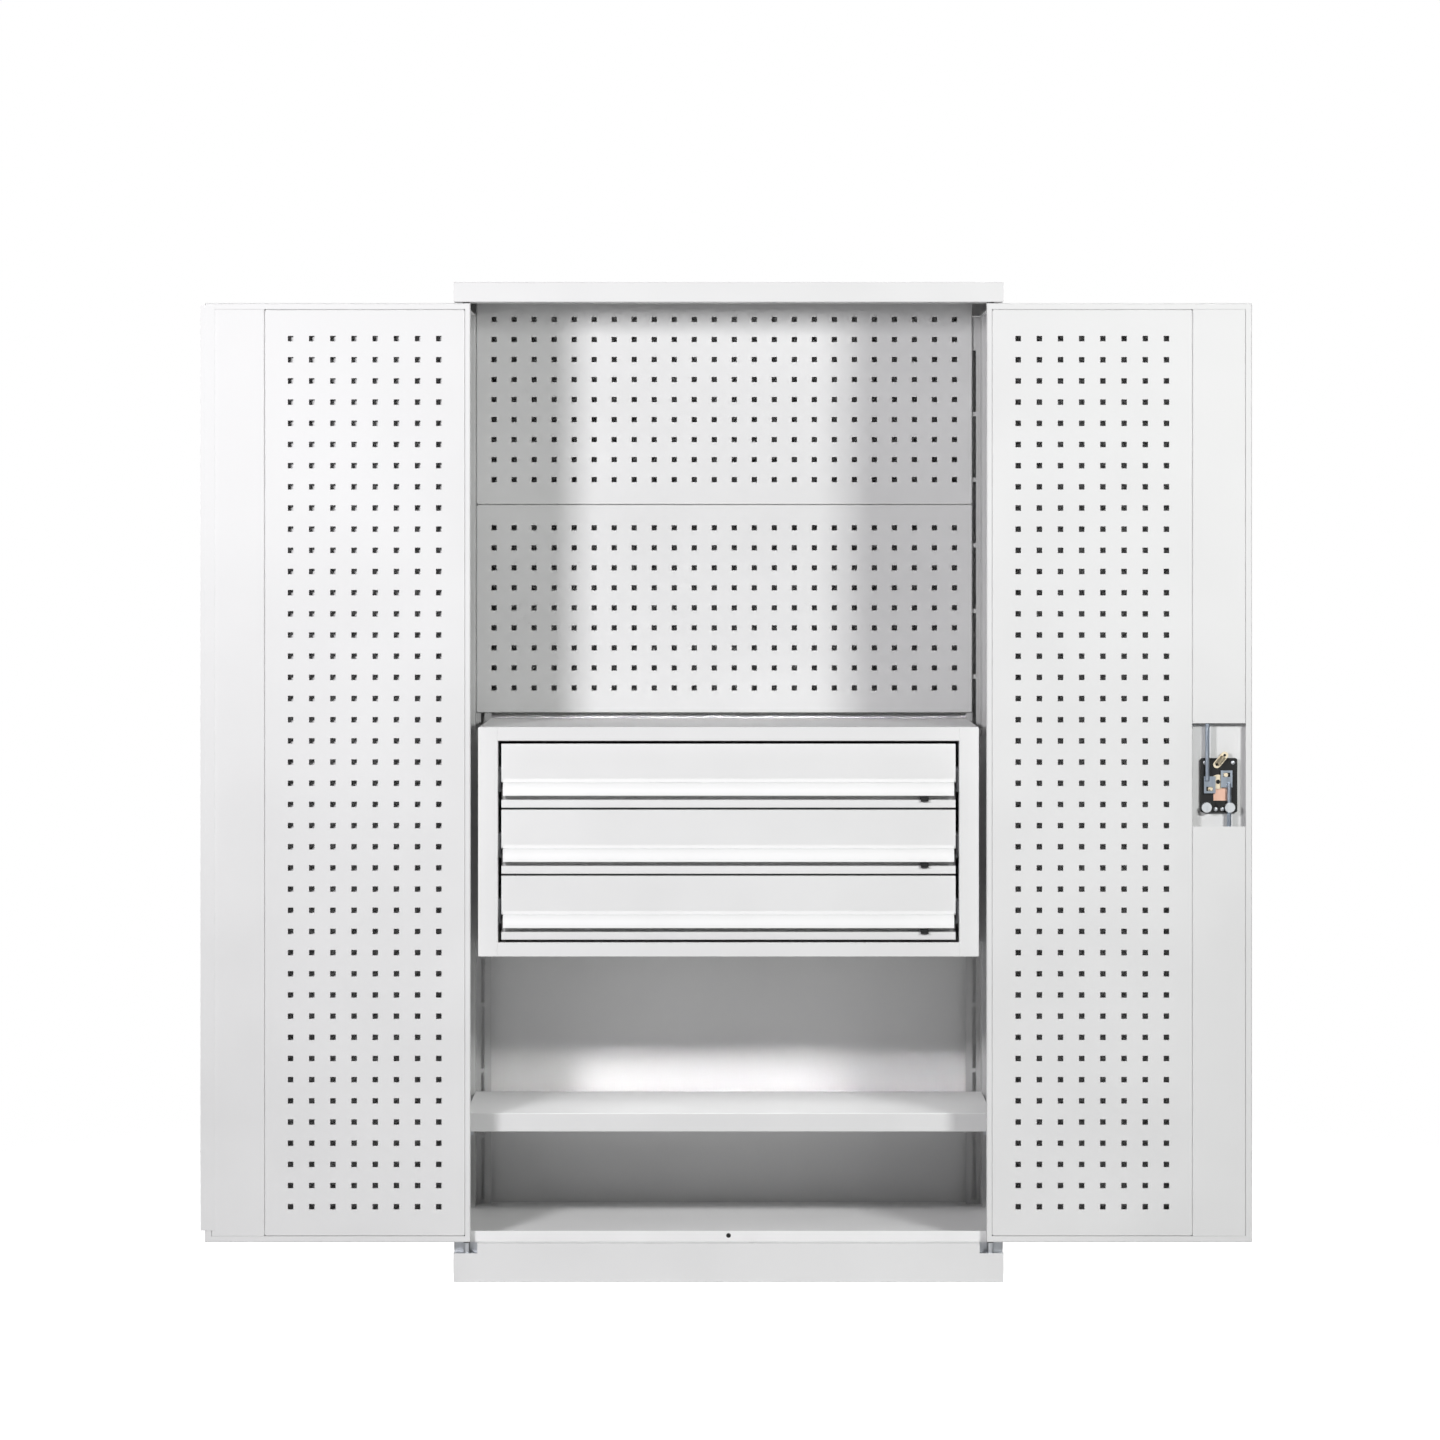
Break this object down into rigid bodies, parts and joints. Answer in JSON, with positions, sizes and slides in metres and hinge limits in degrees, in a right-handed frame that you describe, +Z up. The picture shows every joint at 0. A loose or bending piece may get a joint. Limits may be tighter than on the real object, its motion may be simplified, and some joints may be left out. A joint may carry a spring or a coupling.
{
  "type": "tool cabinet with doors",
  "caption": "Tall sheet-steel tool cabinet with two perforated doors that open flat, perforated back boards, a shelf, a drawer unit and a rod lock.",
  "frame": {"origin": "middle of the base on the floor", "axes": "+Z up, the front faces -Y, +X to the right seen from the front; the doors are stored open at 180 degrees"},
  "size_m": [1.892, 0.5017, 1.8],
  "materials": {
    "white_powder_coat": "fine textured powder coat",
    "grey_powder_coat": "fine textured powder coat",
    "zinc_plate": "bright zinc plate",
    "black_plastic": "matt moulded plastic",
    "black_rubber": "matt",
    "brass_plate": "passivated",
    "copper_plate": "washed steel"
  },
  "bodies": {
    "cabinet": {"top_cap": "white_powder_coat", "plinth": "white_powder_coat", "floor_pan": "white_powder_coat", "left_side_panel": "white_powder_coat", "right_side_panel": "white_powder_coat", "back_panel": "white_powder_coat", "left_front_upright": "grey_powder_coat", "right_front_upright": "grey_powder_coat", "left_rear_upright": "grey_powder_coat", "right_rear_upright": "grey_powder_coat", "upper_pegboard": "white_powder_coat", "lower_pegboard": "white_powder_coat", "shelf": "white_powder_coat", "shelf_clips": "zinc_plate", "drawer_case": "white_powder_coat", "case_brackets": "grey_powder_coat", "case_runners": "zinc_plate", "hinge_brackets": "zinc_plate", "hinge_pins": "zinc_plate", "door_buffer": "black_rubber"},
    "left_door": {"left_door_shell": "white_powder_coat", "left_door_pegboard": "white_powder_coat", "left_door_strip": "white_powder_coat", "left_door_lip": "white_powder_coat", "left_door_bushes": "black_plastic"},
    "right_door": {"right_door_shell": "white_powder_coat", "right_door_pegboard": "white_powder_coat", "right_door_bushes": "black_plastic", "right_upper_strip": "white_powder_coat", "right_lower_strip": "white_powder_coat", "lock_body": "black_plastic", "lock_plate": "copper_plate", "lock_lever": "brass_plate", "lock_eyes": "zinc_plate", "lock_rose": "black_plastic", "rod_guides": "black_plastic"},
    "lock": {"lock_cam": "brass_plate", "lock_handle": "black_plastic"},
    "key": {"key_cylinder": "zinc_plate"},
    "upper_bolt": {"upper_rod": "zinc_plate"},
    "lower_bolt": {"lower_rod": "zinc_plate"},
    "drawer_1": {"drawer_1_front": "white_powder_coat", "drawer_1_grip": "white_powder_coat", "drawer_1_box": "grey_powder_coat", "drawer_1_rails": "zinc_plate"},
    "runner_1": {"drawer_1_slides": "zinc_plate"},
    "catch_1": {"drawer_1_latch": "black_plastic"},
    "drawer_2": {"drawer_2_front": "white_powder_coat", "drawer_2_grip": "white_powder_coat", "drawer_2_box": "grey_powder_coat", "drawer_2_rails": "zinc_plate"},
    "runner_2": {"drawer_2_slides": "zinc_plate"},
    "catch_2": {"drawer_2_latch": "black_plastic"},
    "drawer_3": {"drawer_3_front": "white_powder_coat", "drawer_3_grip": "white_powder_coat", "drawer_3_box": "grey_powder_coat", "drawer_3_rails": "zinc_plate"},
    "runner_3": {"drawer_3_slides": "zinc_plate"},
    "catch_3": {"drawer_3_latch": "black_plastic"}
  },
  "joints": [
    {"name": "left_door_hinge", "type": "hinge", "parent": "cabinet", "child": "left_door", "pos_m": [-0.4715, -0.239, 0.9], "axis": [0, 0, -1], "range_deg": [-180, 0]},
    {"name": "right_door_hinge", "type": "hinge", "parent": "cabinet", "child": "right_door", "pos_m": [0.4715, -0.239, 0.9], "axis": [0, 0, 1], "range_deg": [-180, 0]},
    {"name": "lock_turn", "type": "hinge", "parent": "right_door", "child": "lock", "pos_m": [0.882, -0.239, 0.9], "axis": [0, 1, 0], "range_deg": [0, 90]},
    {"name": "upper_bolt_slide", "type": "slide", "parent": "right_door", "child": "upper_bolt", "axis": [0, 0, 1], "range_m": [0, 0.02556]},
    {"name": "lower_bolt_slide", "type": "slide", "parent": "right_door", "child": "lower_bolt", "axis": [0, 0, -1], "range_m": [0, 0.02556]},
    {"name": "key_turn", "type": "hinge", "parent": "lock", "child": "key", "pos_m": [0.882, -0.239, 0.9], "axis": [0, 1, 0], "range_deg": [0, 90]},
    {"name": "drawer_1_pull", "type": "slide", "parent": "cabinet", "child": "drawer_1", "axis": [0, -1, 0], "range_m": [0, 0.36]},
    {"name": "runner_1_travel", "type": "slide", "parent": "cabinet", "child": "runner_1", "axis": [0, -1, 0], "range_m": [0, 0.18]},
    {"name": "catch_1_push", "type": "slide", "parent": "drawer_1", "child": "catch_1", "axis": [1, 0, 0], "range_m": [0, 0.006], "stiffness_N_per_m": 120},
    {"name": "drawer_2_pull", "type": "slide", "parent": "cabinet", "child": "drawer_2", "axis": [0, -1, 0], "range_m": [0, 0.36]},
    {"name": "runner_2_travel", "type": "slide", "parent": "cabinet", "child": "runner_2", "axis": [0, -1, 0], "range_m": [0, 0.18]},
    {"name": "catch_2_push", "type": "slide", "parent": "drawer_2", "child": "catch_2", "axis": [1, 0, 0], "range_m": [0, 0.006], "stiffness_N_per_m": 120},
    {"name": "drawer_3_pull", "type": "slide", "parent": "cabinet", "child": "drawer_3", "axis": [0, -1, 0], "range_m": [0, 0.36]},
    {"name": "runner_3_travel", "type": "slide", "parent": "cabinet", "child": "runner_3", "axis": [0, -1, 0], "range_m": [0, 0.18]},
    {"name": "catch_3_push", "type": "slide", "parent": "drawer_3", "child": "catch_3", "axis": [1, 0, 0], "range_m": [0, 0.006], "stiffness_N_per_m": 120}
  ],
  "couplings": [
    {"joint": "upper_bolt_slide", "follows": "lock_turn", "m_per_rad": 0.016206},
    {"joint": "lower_bolt_slide", "follows": "lock_turn", "m_per_rad": 0.016206},
    {"joint": "runner_1_travel", "follows": "drawer_1_pull", "ratio": 0.5},
    {"joint": "runner_2_travel", "follows": "drawer_2_pull", "ratio": 0.5},
    {"joint": "runner_3_travel", "follows": "drawer_3_pull", "ratio": 0.5}
  ]
}
